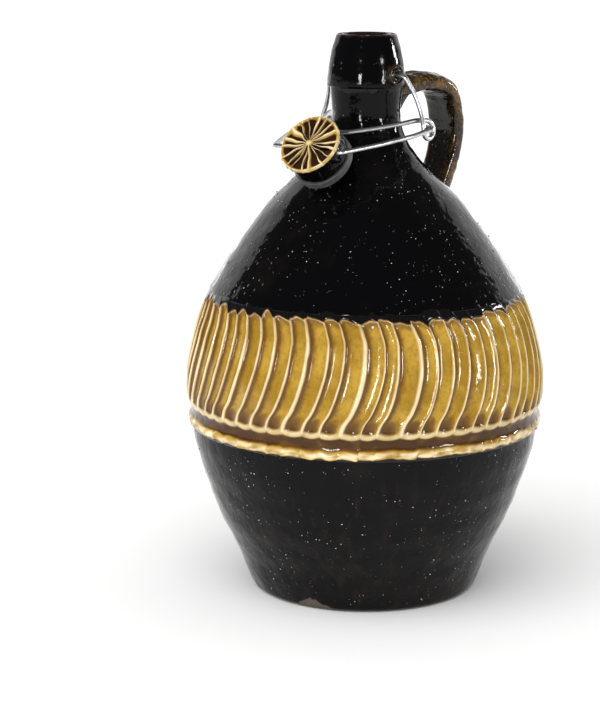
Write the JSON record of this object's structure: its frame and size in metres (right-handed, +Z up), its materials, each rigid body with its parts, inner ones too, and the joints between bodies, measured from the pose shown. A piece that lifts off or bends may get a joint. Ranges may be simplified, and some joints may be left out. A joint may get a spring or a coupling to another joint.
{
  "type": "swing-top jug",
  "caption": "Round-bellied stoneware jug with a loop handle, a carved band and a wire swing-top closure on two lugs.",
  "frame": {"origin": "centre of the foot, on the surface the jug stands on", "axes": "+Z up the jug's axis to the mouth, +Y towards the handle, -Y towards the hanging stopper, +X and -X through the two lugs"},
  "size_m": [0.178, 0.178, 0.275],
  "materials": {
    "black_glaze": "gloss",
    "brown_glaze": "gloss",
    "amber_glaze": "gloss",
    "bright_wire": "bright drawn",
    "grey_rubber": "matte"
  },
  "bodies": {
    "jug": {"pot_body": "black_glaze", "neck_collar": "black_glaze", "handle": "brown_glaze", "lug_right": "black_glaze", "lug_left": "black_glaze"},
    "lever": {"lever_wire": "bright_wire"},
    "bail": {"bail_wire": "bright_wire"},
    "stopper_set": {"stopper": "amber_glaze", "gasket": "grey_rubber"}
  },
  "joints": [
    {"name": "lever_pivot", "type": "hinge", "parent": "jug", "child": "lever", "pos_m": [0, 0, 0.256], "axis": [1, 0, 0], "range_deg": [-95, 0]},
    {"name": "bail_pivot", "type": "hinge", "parent": "lever", "child": "bail", "pos_m": [0, 0.0085, 0.2312], "axis": [1, 0, 0], "range_deg": [-35, 0]},
    {"name": "stopper_swivel", "type": "hinge", "parent": "bail", "child": "stopper_set", "pos_m": [0.009, -0.0442, 0.2228], "axis": [1, 0, 0], "continuous": true}
  ]
}
